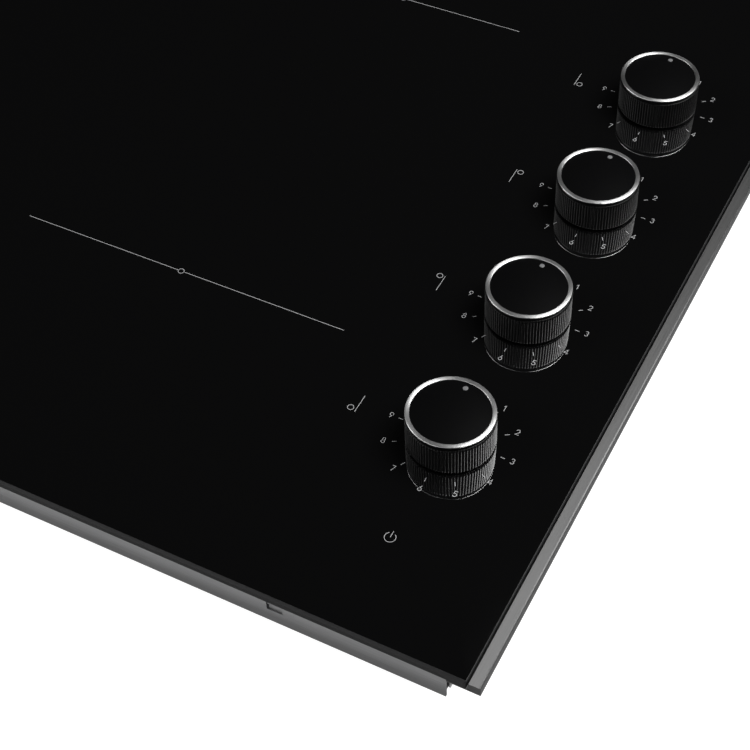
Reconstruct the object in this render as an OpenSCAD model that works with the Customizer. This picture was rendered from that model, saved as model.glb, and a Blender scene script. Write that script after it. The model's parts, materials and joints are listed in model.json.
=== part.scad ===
// Built-in induction cooktop: black glass panel with side trims, four turning knobs on the right,
// four sprung coils and their electronics in a sheet steel pan that drops into a worktop cut-out.
// Frame: origin at the centre of the pan's underside, +X to the right, +Y to the back, +Z up.

/* [Glass panel] */
// Width of the glass, left to right
glass_w = 590; // [580:1:720]
// Depth of the glass, front to back
glass_d = 520; // [510:1:640]
// Thickness of the glass
glass_t = 4; // [3.5:0.1:6]
// Corner radius of the glass
glass_r = 1.5; // [1:0.5:8]
// Width of the ground bevel along the front and back edges
bevel = 1; // [0.4:0.1:1.5]
// Width of the small ground edge on the left and right
arris = 0.5; // [0.3:0.1:1]

/* [Case] */
// Height from the pan's underside to the glass's underside
case_h = 52; // [50:1:70]
// Distance from the glass's edge to the pan's wall, all round
pan_inset = 21; // [17:0.5:24]
// Thickness of the pan's and the rails' sheet
sheet_t = 1; // [0.7:0.1:1.3]
// Height of the raised rails under the glass
rail_h = 13; // [10:0.5:16]
// Thickness of the seal between glass and rails
seal_t = 1; // [0.8:0.1:2]

/* [Side trims] */
// Width of each side trim bar
trim_w = 5.3; // [4:0.1:10]
// Gap between the glass and the trim bar
trim_gap = 1.1; // [0.5:0.1:2]
// How far the trim stands above the glass
trim_proud = 0.3; // [0:0.1:1]
// Width of the trim's flange under the glass
trim_flange = 12; // [10:0.5:14]

/* [Knobs] */
// Distance from the right edge of the glass to the knob axes
knob_edge = 59; // [54:1:70]
// Distance from the front edge of the glass to the first knob axis
knob_front = 108.3; // [100:0.1:140]
// Distance between knob axes
knob_pitch = 83.3; // [60:0.1:102]
// Diameter over the knurl
knob_d = 40.8; // [32:0.5:52]
// Height of the knob's top above the glass
knob_h = 19.2; // [17:0.5:26]
// Air gap between knob and glass
knob_gap = 1; // [0.6:0.1:2]
// Number of ribs in the knurl
knurl_n = 90; // [60:2:120]
// Width of the metal ring on top of the knob
ring_w = 2.1; // [1.5:0.1:4]
// Diameter of the turning shaft
shaft_d = 6; // [4.8:0.1:7.4]

/* [Cooking zones] */
// Distance from the right edge of the glass to the right column of zones
right_column = 222; // [210:1:240]
// Distance from the left edge of the glass to the left column of zones
left_column = 145; // [135:1:160]
// Distance from the front edge of the glass to the front zones
front_row = 143.5; // [135:0.5:150]
// Distance from the back edge of the glass to the back zones
back_row = 136; // [128:1:145]
// Coil diameters: front left, back left, back right, front right
coil_d = [196, 168, 136, 172];
// Pitch of the coil's turns
turn_pitch = 4; // [3.6:0.1:5]

/* [Mounts] */
// Radius of the mains cable's bore
cable_r = 6.5; // [5:0.5:7.5]
// Radius of the clamp holes in the pan's side walls
clamp_hole_r = 2; // [1.5:0.1:3]
// Distance between the two clamp holes on one side
clamp_pitch = 300; // [200:10:360]

/* [Hidden] */

$fn = 64;
eps = 0.01;          // overrun of a cut past the face it opens
running_gap = 0.05;  // radial clearance of a turning shaft
slip_gap = 0.1;      // radial clearance of a screw or bush in its hole

// glass and case levels
glass_z = case_h;
glass_top_z = case_h + glass_t;
half_w = glass_w / 2;
half_d = glass_d / 2;
pan_w = glass_w - 2 * pan_inset;
pan_d = glass_d - 2 * pan_inset;
pan_r = 6;
pan_flange = 9;                          // outward flange of the pan, under the rails
rail_top_z = glass_z - seal_t;
rail_z = rail_top_z - rail_h;
pan_h = rail_top_z - sheet_t;            // the pan's flange lies under the rails' top flange
rail_inset_side = 9.1;
rail_inset_front = 0.4;
rail_lip = 6;                            // bottom lip that stands on the worktop
rail_corner_gap = 3.4;                   // open seam between a long rail's web and a side rail
rail_web_up = seal_t - 0.1;              // the long rails' webs cover the seal's edge
screw_inset = pan_inset - 4.5;
screw_r = 1.9;
screw_head_r = 3.4;
screw_head_h = 2.2;

// knobs
knob_x = half_w - knob_edge;
knob_ys = [for (k = [0:3]) -half_d + knob_front + k * knob_pitch];
power_y = knob_ys[0] - 59;               // touch key in front of the first knob
shaft_r = shaft_d / 2;
bush_wall = 1.2;
glass_hole_r = shaft_r + running_gap + bush_wall + running_gap;
knob_r = knob_d / 2;
ring_r = knob_r - 0.2;
ring_h = 1.9;
knob_neck = 0.7;                         // dark groove between knurl and ring
knurl_depth = 0.45;
cap_drop = 0.4;                          // the cap lies this far below the ring's top
cap_t = 3;
cap_r = ring_r - ring_w;
shaft_up = 10.5;                         // engagement of the shaft above the glass

// coils
zones = [[-half_w + left_column, -half_d + front_row], [-half_w + left_column, half_d - back_row],
    [half_w - right_column, half_d - back_row], [half_w - right_column, -half_d + front_row]];
tray_t = 1;
mica_t = 0.6;
winding_t = turn_pitch;
former_t = 5;
ferrite_t = 3.6;
mica_gap = 1.4;
tray_top = glass_z - mica_gap - mica_t - winding_t - former_t;
former_rim = 3;
coil_bore_r = 22;
sensor_bore_r = 13;
tray_lip = 6;
left_tray_w = 216;
right_tray_w = 196;
tray_d = pan_d - 14;

// electronics
board_t = 1.6;
standoff_h = 5;
board_z = sheet_t + standoff_h;
board_top = board_z + board_t;
board_w = 176;
board_d = 200;
board_y = -32;
sink_w = 56;
sink_d = 184;
sink_h = tray_top - tray_t - tray_lip - board_top - 1.5;
fin_n = 9;
fin_t = 1.6;
fan_d = 74;
fan_h = 25;
fan_wall = 1.6;
rotor_r = 30;
fan_shaft_r = 1.5;
fan_dy = board_y + board_d / 2 + fan_d / 2 + 7;
sink_dx = -board_w / 2 + 12 + sink_w / 2; // heat sink and fan lie on the board's left side
filter_w = 104;
filter_d = 100;
filter_x = (zones[1][0] + zones[2][0]) / 2 + sink_dx;
filter_y = pan_d / 2 - 30 - filter_d / 2;
box_w = 70;
box_d = 42;
box_h = 27;
box_wall = 2;
box_x = zones[2][0] + 20;
collar_len = 8;
cable_z = sheet_t + 14;

// control column
control_w = 52;
control_len = knob_ys[3] - power_y + 46;
control_y = (knob_ys[3] + power_y) / 2;
carrier_t = 2;
encoder_h = 7;
bushing_h = 5;
bushing_r = shaft_r + 1.6;
bushing_top = glass_z - 2.4;
carrier_top = bushing_top - bushing_h + carrier_t;
control_top = carrier_top - carrier_t - encoder_h;

module rounded(w, d, r) {
    square([w - 2 * r, d], center = true);
    square([w, d - 2 * r], center = true);
    for (sx = [-1, 1], sy = [-1, 1])
        translate([sx * (w / 2 - r), sy * (d / 2 - r)]) circle(r);
}

module plate(w, d, r, t) {
    linear_extrude(t) rounded(w, d, r);
}

module tube(r_out, r_in, h) {
    difference() {
        cylinder(r = r_out, h = h);
        translate([0, 0, -eps]) cylinder(r = r_in, h = h + 2 * eps);
    }
}

// slot with round ends along X, cut through thickness t from z = 0 down to -t
module slot(length, width, t) {
    translate([0, 0, -t - eps]) linear_extrude(t + 2 * eps) {
        square([length - width, width], center = true);
        for (s = [-1, 1]) translate([s * (length - width) / 2, 0]) circle(d = width, $fn = 24);
    }
}

// prism with a triangular section along X, which takes a bevel off an upper edge
module bevel_cut(length, width, drop) {
    rotate([90, 0, 90]) translate([0, 0, -length / 2])
        linear_extrude(length) polygon([[-eps, eps], [width, eps], [-eps, -drop - eps]]);
}

// helical spring standing on z = 0: each ring of the polyhedron is a small polygon of the wire
module helix(mean_r, wire_d, height, turns, per_turn, sides) {
    rings = turns * per_turn;
    wire_r = wire_d / 2;
    climb = height - wire_d;
    points = [for (i = [0:rings]) let (a = 360 * i / per_turn, z = wire_r + climb * i / rings)
        for (s = [0:sides - 1]) let (b = 360 * s / sides, r = mean_r + wire_r * cos(b))
            [r * cos(a), r * sin(a), z + wire_r * sin(b)]];
    walls = [for (i = [0:rings - 1], s = [0:sides - 1], h = [0, 1])
        let (n = (s + 1) % sides, a = i * sides, b = (i + 1) * sides)
        h == 0 ? [a + s, b + s, b + n] : [a + s, b + n, a + n]];
    first = [[for (s = [0:sides - 1]) s]];
    last = [[for (s = [sides - 1:-1:0]) rings * sides + s]];
    polyhedron(points, concat(walls, first, last));
}

// wire along a few points: straight runs with round elbows
module wire(points, d) {
    for (i = [0:len(points) - 2]) {
        run = points[i + 1] - points[i];
        translate(points[i]) rotate([0, acos(run[2] / norm(run)), atan2(run[1], run[0])])
            cylinder(d = d, h = norm(run), $fn = 20);
    }
    for (i = [1:len(points) - 2]) translate(points[i]) sphere(d = d, $fn = 20);
}

module at_knobs() {
    for (y = knob_ys) translate([knob_x, y, 0]) children();
}

// screw axes all round the rails, as [x, y]
screw_spots = concat(
    [for (x = [-1, -0.36, 0.36, 1], s = [-1, 1]) [x * (pan_w / 2 - 40), s * (half_d - screw_inset)]],
    [for (y = [-1, 0, 1], s = [-1, 1]) [s * (half_w - screw_inset), y * (pan_d / 2 - 50)]]);

// ---- glass, seals and trims ----

module glass_top() {
    color([0.02, 0.02, 0.022]) difference() {
        translate([0, 0, glass_z]) plate(glass_w, glass_d, glass_r, glass_t);
        for (s = [0, 180]) rotate(s) {
            translate([0, -half_d, glass_top_z]) bevel_cut(glass_w + 2, bevel, bevel);
            rotate(90) translate([0, -half_w, glass_top_z]) bevel_cut(glass_d + 2, arris, arris);
        }
        at_knobs() translate([0, 0, glass_z - eps]) cylinder(r = glass_hole_r, h = glass_t + 1);
    }
}

module glass_seal() {
    seal_outer_w = glass_w - 2 * (trim_flange + 1);
    color([0.12, 0.12, 0.12]) translate([0, 0, rail_top_z]) difference() {
        plate(seal_outer_w, glass_d - 2 * (rail_inset_front + sheet_t + 0.3), 2, seal_t);
        translate([0, 0, -eps]) plate(pan_w - 4, pan_d - 4, 4, seal_t + 1);
    }
}

module shaft_seals() {
    color([0.15, 0.15, 0.15]) at_knobs() translate([0, 0, glass_z]) {
        tube(shaft_r + running_gap + bush_wall, shaft_r + running_gap, glass_t);
        translate([0, 0, -1.4]) tube(glass_hole_r + 2.5, shaft_r + running_gap, 1.4);
    }
}

// bar beside the glass with a thin flange under it; right-hand trim, mirrored for the left
module side_trim(side) {
    low = glass_z - seal_t;
    bar_h = glass_top_z + trim_proud - low;
    round_r = 0.8;
    flange_t = seal_t - 0.05;
    outer_flange = rail_inset_side - 0.3;    // clears the ends of the long rails' webs
    inner_cut = rail_inset_front + sheet_t + 0.3;
    color([0.62, 0.62, 0.63]) mirror([side < 0 ? 1 : 0, 0, 0]) {
        translate([half_w, half_d, low]) rotate([90, 0, 0]) linear_extrude(glass_d) {
            translate([trim_gap, 0]) square([trim_w - round_r, bar_h]);
            translate([trim_gap, 0]) square([trim_w, bar_h - round_r]);
            translate([trim_gap + trim_w - round_r, bar_h - round_r]) circle(round_r, $fn = 32);
            translate([-outer_flange, 0]) square([outer_flange + trim_gap + 1, flange_t]);
        }
        translate([half_w - trim_flange, -half_d + inner_cut, low])
            cube([trim_flange, glass_d - 2 * inner_cut, flange_t]);
    }
}

// ---- rails ----

// channel along X, open to the inside (+Y): web, top flange and bottom lip, outer face at y = 0
module channel(length, flange, web_h, lip_short) {
    translate([-length / 2, 0, 0]) {
        cube([length, sheet_t, web_h]);
        translate([0, 0, rail_h - sheet_t]) cube([length, flange, sheet_t]);
        translate([lip_short, 0, 0]) cube([length - 2 * lip_short, rail_lip, sheet_t]);
    }
}

notch_w = 7.6;
notch_h = 5.5;                           // measured down from the web's top edge
notch_low = rail_h + rail_web_up - notch_h;
notch_from_edge = 88.25;
plate_drop = 2.5;                        // how far the plate reaches below the notch
plate_over = 4;                          // and past its far side
plate_slant = [0.3, 0.9];                // free gap at the plate's slanted end, at its foot and its head
screw_hole_r = screw_r + slip_gap;

// notch in the web's top edge, with a small locating plate welded behind it
module notch_cut() {
    translate([-notch_w / 2, -1, notch_low]) cube([notch_w, sheet_t + 1, notch_h + 1]);
}

module notch_plate() {
    head = rail_h - sheet_t + 0.05;
    free_end = -notch_w / 2;
    translate([0, 2 * sheet_t, 0]) rotate([90, 0, 0]) linear_extrude(sheet_t + 0.05)
        polygon([[free_end + plate_slant[0], notch_low - plate_drop], [-free_end + plate_over, notch_low - plate_drop],
            [-free_end + plate_over, head], [free_end + plate_slant[1], head], [free_end + plate_slant[0], notch_low]]);
}

module long_rail(notched) {
    length = glass_w - 2 * rail_inset_side;
    flange = pan_inset - 2 - rail_inset_front;
    notch_x = half_w - notch_from_edge;
    difference() {
        translate([0, -half_d + rail_inset_front, rail_z])
            channel(length, flange, rail_h + rail_web_up, sheet_t + 0.1);
        for (s = [-1, 1]) if (notched)
            translate([s * notch_x, -half_d + rail_inset_front, rail_z]) notch_cut();
        for (p = screw_spots) if (p[1] < -pan_d / 2)
            translate([p[0], p[1], rail_top_z - 2 * sheet_t]) cylinder(r = screw_hole_r, h = 3 * sheet_t);
    }
    for (s = [0, 1]) if (notched) mirror([s, 0, 0])
        translate([notch_x, -half_d + rail_inset_front, rail_z]) notch_plate();
}

module front_rail() {
    color([0.55, 0.55, 0.56]) long_rail(true);
}

module rear_rail() {
    color([0.55, 0.55, 0.56]) rotate(180) long_rail(false);
}

// the side rails' webs pass under the long rails' flanges and stop short of their webs
module side_rail(side) {
    web_len = glass_d - 2 * (rail_inset_front + sheet_t + rail_corner_gap);
    mid_len = glass_d - 2 * (pan_inset - 2 + rail_corner_gap);
    flange = pan_inset - 2 - rail_inset_side;
    color([0.6, 0.6, 0.61]) rotate(side > 0 ? 90 : -90) difference() {
        translate([0, -half_w + rail_inset_side, rail_z]) {
            translate([-web_len / 2, 0, 0]) cube([web_len, sheet_t, rail_h - sheet_t - 0.2]);
            channel(mid_len, flange, rail_h, 0);
        }
        for (y = [-1, 0, 1]) translate([y * (pan_d / 2 - 50), -half_w + screw_inset, rail_top_z - 2 * sheet_t])
            cylinder(r = screw_hole_r, h = 3 * sheet_t);
    }
}

// ---- pan and fasteners ----

module grille(radius, rows, width, gap) {
    for (i = [-rows:rows]) {
        offset_y = i * (width + gap);
        length = 2 * sqrt(radius * radius - offset_y * offset_y);
        translate([0, offset_y, sheet_t]) slot(length, width, sheet_t);
    }
}

fan_spots = [[zones[0][0] + sink_dx, fan_dy], [zones[3][0] + sink_dx, fan_dy]];
board_spots = [[zones[0][0], board_y], [zones[3][0], board_y]];
spring_wire = 1.3;
spring_r = 5.5;
spring_spots = [for (c = [[zones[0][0], left_tray_w], [zones[3][0], right_tray_w]], s = [-1, 1], y = [-1, 1])
    [c[0] + s * (c[1] / 2 - 9), y * (tray_d / 2 - 10)]];

module standoffs(spots, w, d) {
    for (p = spots, sx = [-1, 1], sy = [-1, 1])
        translate([p[0] + sx * (w / 2 - 6), p[1] + sy * (d / 2 - 6), sheet_t]) cylinder(r = 3, h = standoff_h);
}

module base_pan() {
    color([0.66, 0.67, 0.68]) {
        difference() {
            union() {
                plate(pan_w, pan_d, pan_r, pan_h);
                translate([0, 0, pan_h - sheet_t]) plate(pan_w + 2 * pan_flange, pan_d + 2 * pan_flange, pan_r, sheet_t);
            }
            translate([0, 0, sheet_t])
                plate(pan_w - 2 * sheet_t, pan_d - 2 * sheet_t, pan_r - sheet_t, pan_h);
            for (p = fan_spots) translate([p[0], p[1], 0]) grille(24, 5, 2.4, 2);
            for (p = board_spots, i = [-5:5])
                translate([p[0] + i * 13, -pan_d / 2 + 52, sheet_t]) rotate(90) slot(46, 5, sheet_t);
            for (x = [-1, 1], i = [-4:4]) translate([x * pan_w / 2, i * 24, pan_h / 2])
                rotate([0, x * 90, 0]) translate([0, 0, 1]) slot(22, 4, sheet_t + 2);
            for (i = [-5:5]) translate([zones[1][0] + i * 14, pan_d / 2, pan_h / 2])
                rotate([-90, 0, 0]) rotate(90) translate([0, 0, 1]) slot(22, 4, sheet_t + 2);
            for (p = screw_spots) translate([p[0], p[1], pan_h - 2 * sheet_t])
                cylinder(r = screw_hole_r, h = 3 * sheet_t);
            for (x = [-1, 1], y = [-1, 1]) translate([x * pan_w / 2, y * clamp_pitch / 2, pan_h / 2])
                rotate([0, 90, 0]) cylinder(r = clamp_hole_r, h = 4 * sheet_t, center = true);
            translate([box_x - box_w / 2, pan_d / 2 - sheet_t - 1, sheet_t])
                cube([box_w, sheet_t + 2, box_h]);
        }
        standoffs(board_spots, board_w, board_d);
        standoffs([[filter_x, filter_y]], filter_w, filter_d);
        for (p = spring_spots) translate([p[0], p[1], sheet_t]) cylinder(r = spring_r - spring_wire, h = 5);
    }
}

module case_screws() {
    color([0.75, 0.75, 0.76]) for (p = screw_spots)
        translate([p[0], p[1], pan_h - sheet_t - screw_head_h]) difference() {
            union() {
                cylinder(r = screw_head_r, h = screw_head_h);
                cylinder(r = screw_r, h = screw_head_h + 2 * sheet_t);
            }
            for (a = [0, 90]) rotate(a) cube([3.6, 0.8, 2.4], center = true);
        }
}

// ---- coils ----

module coil_tray(centre_x, w, spots) {
    color([0.78, 0.79, 0.8]) difference() {
        translate([centre_x, 0, tray_top - tray_t - tray_lip]) difference() {
            plate(w, tray_d, 4, tray_t + tray_lip);
            translate([0, 0, -eps]) plate(w - 2 * tray_t, tray_d - 2 * tray_t, 3, tray_lip);
        }
        for (z = spots) translate([zones[z][0], zones[z][1], tray_top - tray_t - 1]) {
            cylinder(r = 8, h = tray_t + 2);
            for (a = [22.5:45:360]) rotate(a) translate([coil_d[z] / 2 - 14, 0, 0]) cylinder(r = 5, h = tray_t + 2);
        }
    }
}

module coil_tray_left() {
    coil_tray(zones[0][0], left_tray_w, [0, 1]);
}

module coil_tray_right() {
    coil_tray(zones[3][0], right_tray_w, [2, 3]);
}

module tray_springs() {
    color([0.7, 0.7, 0.72]) for (p = spring_spots) translate([p[0], p[1], sheet_t])
        helix(spring_r, spring_wire, tray_top - tray_t - sheet_t, 5, 10, 5);
}

function bar_span(z) = [coil_bore_r + 4, coil_d[z] / 2 - 3];
bar_w = 13;

module coil_former(z) {
    outer = coil_d[z] / 2 + former_rim;
    span = bar_span(z);
    color([0.25, 0.25, 0.26]) translate([zones[z][0], zones[z][1], tray_top]) difference() {
        cylinder(r = outer, h = former_t + winding_t);
        translate([0, 0, former_t]) cylinder(r = coil_d[z] / 2 + 0.5, h = winding_t + 1);
        translate([0, 0, -1]) cylinder(r = sensor_bore_r, h = former_t + 2);
        for (a = [0:45:315]) rotate(a) translate([span[0] - 0.3, -bar_w / 2 - 0.3, -1])
            cube([span[1] - span[0] + 0.6, bar_w + 0.6, ferrite_t + 1.2]);
        for (a = [22.5:45:360]) rotate(a) translate([coil_d[z] / 3, 0, -1]) cylinder(r = 4, h = former_t + 2);
    }
}

turn_groove = 0.8;    // depth of the groove between two turns
turn_shoulder = 0.9;  // width of each turn's rounded side

// one side of the turns' section, from the innermost turn outwards
function turn_line(turns, r0, z, dz) = concat(
    [for (i = [0:turns - 1], c = [[0, dz], [turn_shoulder, 0], [turn_pitch - turn_shoulder, 0]])
        [r0 + i * turn_pitch + c[0], z + c[1]]],
    [[r0 + turns * turn_pitch, z + dz]]);
function reversed(list) = [for (i = [len(list) - 1:-1:0]) list[i]];

module coil_winding(z) {
    turns = floor((coil_d[z] / 2 - coil_bore_r) / turn_pitch);
    inner = coil_d[z] / 2 - turns * turn_pitch;
    color([0.72, 0.42, 0.2]) translate([zones[z][0], zones[z][1], tray_top + former_t])
        rotate_extrude() polygon(concat(turn_line(turns, inner, 0, turn_groove),
            reversed(turn_line(turns, inner, winding_t, -turn_groove))));
}

module mica_sheets() {
    color([0.85, 0.8, 0.66]) for (z = [0:3])
        translate([zones[z][0], zones[z][1], tray_top + former_t + winding_t + 0.1])
            tube(coil_d[z] / 2 + former_rim, coil_bore_r - 4, mica_t);
}

module ferrite_bars() {
    color([0.16, 0.15, 0.15]) for (z = [0:3], a = [0:45:315]) {
        span = bar_span(z);
        translate([zones[z][0], zones[z][1], tray_top]) rotate(a) translate([span[0], -bar_w / 2, 0])
            cube([span[1] - span[0], bar_w, ferrite_t]);
    }
}

module pan_sensors() {
    stem_top = glass_z - 0.2 - tray_top;
    color([0.9, 0.9, 0.88]) for (p = zones) translate([p[0], p[1], tray_top]) {
        cylinder(r = 11, h = 3);
        cylinder(r = 6.5, h = stem_top - 1);
        cylinder(r = 4, h = stem_top);
    }
}

lead_d = 2.4;
lead_ys = [[-60, -48], [60, 72], [60, 72], [-60, -48]];   // board terminals of each zone's two leads

// two leads per coil, over the tray's inner edge, down the gap between the trays and to the boards
module coil_leads() {
    for (z = [0:3], n = [0, 1]) {
        s = z < 2 ? 1 : -1;
        tray_half = (z < 2 ? left_tray_w : right_tray_w) / 2;
        high = tray_top + 6;
        x0 = zones[z][0] + s * (coil_d[z] / 2 + former_rim + 1.5);
        xg = zones[z][0] + s * (tray_half + 3 + 3 * n);
        xb = zones[z][0] + s * (board_w / 2 - 6);
        y0 = zones[z][1] + 8 * n;
        y1 = board_y + lead_ys[z][n];
        color(n == 0 ? [0.7, 0.12, 0.1] : [0.9, 0.88, 0.82])
            wire([[x0, y0, high], [xg, y0, high], [xg, y0, tray_top - 3], [xg, y1, tray_top - 3],
                [xg, y1, board_top + 10], [xb, y1, board_top + 10], [xb, y1, board_top + 2]], lead_d);
    }
}

// ---- electronics ----

module power_boards() {
    color([0.1, 0.35, 0.2]) for (p = board_spots)
        translate([p[0], p[1], board_z]) plate(board_w, board_d, 3, board_t);
}

module heat_sink(side) {
    base = 3;
    pitch = (sink_w - fin_t) / (fin_n - 1);
    p = board_spots[side];
    color([0.8, 0.81, 0.82]) translate([p[0] + sink_dx - sink_w / 2, p[1] - sink_d / 2, board_top]) {
        cube([sink_w, sink_d, base]);
        for (i = [0:fin_n - 1]) translate([i * pitch, 0, 0]) cube([fin_t, sink_d, sink_h]);
    }
}

// bridge, film capacitors, chokes, relays and the lead terminals on one board
module power_parts(side) {
    p = board_spots[side];
    x0 = p[0] + sink_dx + sink_w / 2 + 8;
    lead_x = p[0] + (side == 0 ? 1 : -1) * (board_w / 2 - 6);
    color([0.2, 0.24, 0.3]) translate([0, 0, board_top]) {
        for (i = [0:2]) translate([x0 + 24 * i, p[1] - 86, 0]) cube([18, 31, 21]);
        for (i = [0:1]) translate([x0 + 14 + 38 * i, p[1] - 20, 0]) tube(14, 6, 15);
        for (i = [0:3]) translate([x0 + 4 + 19 * i, p[1] + 18, 0]) cube([15, 19, 14]);
        for (i = [0:4]) translate([x0 + 6 + 15 * i, p[1] + 84, 0]) cylinder(r = 5, h = 16);
    }
    color([0.85, 0.75, 0.3]) for (pair = [lead_ys[0], lead_ys[1]], y = pair)
        translate([lead_x, board_y + y, board_top]) cylinder(r = 2.6, h = 2);
}

module fan_housing(side) {
    p = fan_spots[side];
    outlet_w = 44;
    reach = fan_d / 2 + 5;
    color([0.13, 0.13, 0.14]) translate([p[0], p[1], sheet_t]) {
        difference() {
            union() {
                cylinder(d = fan_d, h = fan_h);
                translate([-fan_d / 2, -reach, 0]) cube([outlet_w, reach, fan_h]);
                for (a = [45, 135, 225]) rotate(a) translate([fan_d / 2 - 2, -5, 0]) cube([9, 10, 3]);
            }
            translate([0, 0, fan_wall]) cylinder(d = fan_d - 2 * fan_wall, h = fan_h - 2 * fan_wall);
            translate([-fan_d / 2 + fan_wall, -reach - 1, fan_wall])
                cube([outlet_w - 2 * fan_wall, reach + 1, fan_h - 2 * fan_wall]);
            translate([0, 0, -1]) cylinder(r = 24, h = fan_wall + 2);
            for (a = [45, 135, 225]) rotate(a) translate([fan_d / 2 + 3.5, 0, -1]) cylinder(r = 1.8, h = 5);
        }
        translate([0, 0, fan_h - fan_wall - 5]) cylinder(r = 9, h = 5.5);
        translate([0, 0, 6]) cylinder(r = fan_shaft_r, h = fan_h - fan_wall - 6 + 0.5);
    }
}

// drum wheel: ring, back plate, blades and a hub that turns on the housing's pin
module fan_rotor(side) {
    p = fan_spots[side];
    low = 3.2;
    back_z = 15.5;
    blades = 26;
    color([0.2, 0.2, 0.22]) translate([p[0], p[1], sheet_t]) difference() {
        union() {
            translate([0, 0, low]) tube(rotor_r, rotor_r - 2, 1.6);
            translate([0, 0, back_z]) cylinder(r = rotor_r, h = 1.4);
            translate([0, 0, 7]) cylinder(r = 5, h = back_z - 7 + 0.5);
            translate([0, 0, back_z]) tube(11.5, 9.9, 6);
            for (i = [0:blades - 1]) rotate(360 * i / blades) translate([rotor_r - 4.4, 0, low + 0.8])
                rotate(35) translate([-4, -0.4, 0]) cube([8, 0.8, back_z - low]);
        }
        translate([0, 0, 5]) cylinder(r = fan_shaft_r + running_gap, h = 20);
    }
}

module filter_board() {
    color([0.1, 0.35, 0.2]) translate([filter_x, filter_y, board_z]) plate(filter_w, filter_d, 3, board_t);
}

module filter_parts() {
    color([0.75, 0.6, 0.2]) translate([filter_x, filter_y, board_top]) {
        translate([-22, 24, 0]) tube(16, 7, 18);
        translate([22, 24, 0]) tube(16, 7, 18);
        for (i = [-1:1]) translate([i * 28 - 9, -16, 0]) cube([18, 14, 20]);
        for (i = [0:3]) translate([-36 + i * 24, -34, 0]) cylinder(r = 6, h = 14);
    }
}

module terminal_block() {
    ways = 5;
    w = 10;
    color([0.85, 0.84, 0.8]) translate([box_x - ways * w / 2, pan_d / 2 - box_d + 7, sheet_t + box_wall])
        difference() {
            cube([ways * w, 14, 9]);
            for (i = [0:ways - 1]) translate([(i + 0.5) * w, 7, 3]) cylinder(r = 2.4, h = 7);
        }
}

// open-topped plastic box behind a cut-out in the pan's rear wall; its collar holds the cable
module terminal_box() {
    color([0.12, 0.12, 0.13]) difference() {
        union() {
            translate([box_x - box_w / 2 + 0.2, pan_d / 2 - box_d, sheet_t])
                cube([box_w - 0.4, box_d, box_h - 0.2]);
            translate([box_x, pan_d / 2 - box_wall, cable_z]) rotate([-90, 0, 0])
                cylinder(r = cable_r + 2.5, h = collar_len);
        }
        translate([box_x - box_w / 2 + box_wall, pan_d / 2 - box_d + box_wall, sheet_t + box_wall])
            cube([box_w - 2 * box_wall, box_d - 2 * box_wall, box_h]);
        translate([box_x, pan_d / 2 - 2 * box_wall, cable_z]) rotate([-90, 0, 0])
            cylinder(r = cable_r, h = collar_len + 3 * box_wall);
    }
}

// saddle over the cable's path inside the box, on two pillars
module cable_clamp() {
    span = cable_r + 5;
    y = pan_d / 2 - box_wall - 7;
    color([0.3, 0.3, 0.32]) {
        for (s = [-1, 1]) translate([box_x + s * span, y, sheet_t + box_wall])
            cylinder(r = 3, h = cable_z + cable_r + 1 - sheet_t - box_wall);
        translate([box_x - span - 4, y - 4, cable_z + cable_r + 1]) cube([2 * span + 8, 8, 2.5]);
    }
}

// ---- controls ----

module control_board() {
    color([0.1, 0.3, 0.2]) translate([knob_x, control_y, control_top - board_t]) {
        plate(control_w - 10, control_len - 8, 2, board_t);
        translate([-12, -control_len / 2 + 10, board_t]) cube([24, 5, 2]);
        for (y = [-1, 0, 1]) translate([-20, y * knob_pitch, board_t]) cube([4, 9, 1.5]);
    }
}

// plastic plate that locates the encoders' bushings, on four legs from the pan
module control_carrier() {
    leg_x = control_w / 2 - 1.5;
    leg_y = control_len / 2 - 4;
    color([0.3, 0.3, 0.32]) {
        difference() {
            translate([knob_x, control_y, carrier_top - carrier_t]) plate(control_w + 6, control_len + 6, 4, carrier_t);
            at_knobs() translate([0, 0, carrier_top - carrier_t - 1]) cylinder(r = bushing_r + slip_gap, h = carrier_t + 2);
            translate([knob_x, power_y, carrier_top - carrier_t - 1]) cylinder(r = 6, h = carrier_t + 2);
        }
        for (sx = [-1, 1], sy = [-1, 1]) translate([knob_x + sx * leg_x, control_y + sy * leg_y, sheet_t])
            cylinder(r = 3, h = carrier_top - carrier_t - sheet_t);
    }
}

module touch_spring() {
    color([0.8, 0.75, 0.6]) translate([knob_x, power_y, control_top])
        helix(3.6, 0.9, glass_z - 0.1 - control_top, 7, 10, 6);
}

module encoder_bodies() {
    color([0.5, 0.52, 0.55]) at_knobs() translate([0, 0, control_top]) difference() {
        union() {
            translate([-6.6, -6.2, 0]) cube([13.2, 12.4, encoder_h]);
            translate([0, 0, encoder_h]) cylinder(r = bushing_r, h = bushing_h);
        }
        translate([0, 0, 2]) cylinder(r = shaft_r + running_gap, h = encoder_h + bushing_h);
    }
}

module encoder_shaft(k) {
    low = control_top + 2.2;
    top = glass_top_z + shaft_up;
    color([0.78, 0.78, 0.8]) translate([knob_x, knob_ys[k], low]) difference() {
        cylinder(r = shaft_r, h = top - low);
        translate([shaft_r - 0.8, -shaft_r, glass_top_z + 2.5 - low]) cube([2, 2 * shaft_r, shaft_up]);
    }
}

// ribbed outline: each rib has a flat crest and a flat root
function knurl_outline(n, r, depth) = [for (i = [0:n - 1], c = [[0, 0], [0.42, 0], [0.56, 1], [0.86, 1]])
    let (a = 360 * (i + c[0]) / n, q = r - depth * c[1]) [q * cos(a), q * sin(a)]];

knob_low = glass_top_z + knob_gap;
knurl_top = glass_top_z + knob_h - ring_h - knob_neck;
cap_z = glass_top_z + knob_h - cap_drop - cap_t;
knob_wall = 3;
hub_r = shaft_r + 2.5;

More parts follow.
